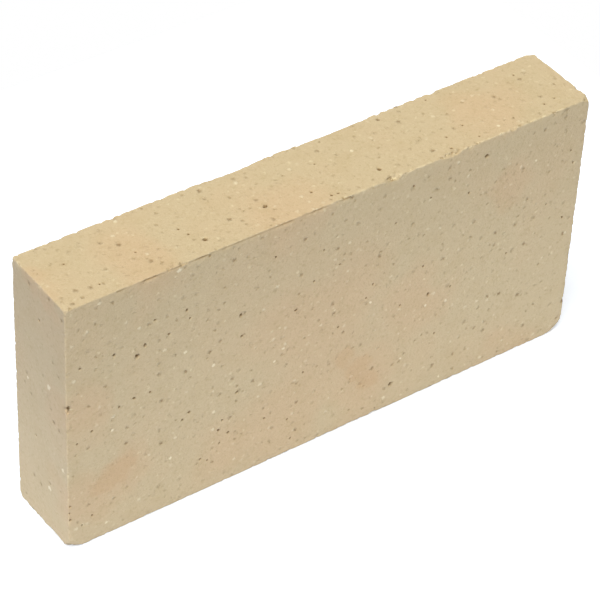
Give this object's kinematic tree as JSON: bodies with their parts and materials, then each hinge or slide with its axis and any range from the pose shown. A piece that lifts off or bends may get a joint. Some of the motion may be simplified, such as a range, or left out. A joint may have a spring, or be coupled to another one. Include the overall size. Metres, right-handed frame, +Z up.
{
  "type": "refractory firebrick",
  "caption": "Thin rectangular refractory firebrick of dense fireclay, with slightly rounded, spalled arrises and blunted corners, for lining stoves, fireboxes and kilns.",
  "frame": {"origin": "middle of the long narrow face that the brick stands on", "axes": "+X along the length from the near end to the far end, +Y through the thickness from the front face to the back face, +Z up across the width"},
  "size_m": [0.23, 0.035, 0.114],
  "materials": {
    "fireclay": "matte"
  },
  "bodies": {
    "root": {"firebrick": "fireclay"}
  },
  "joints": []
}
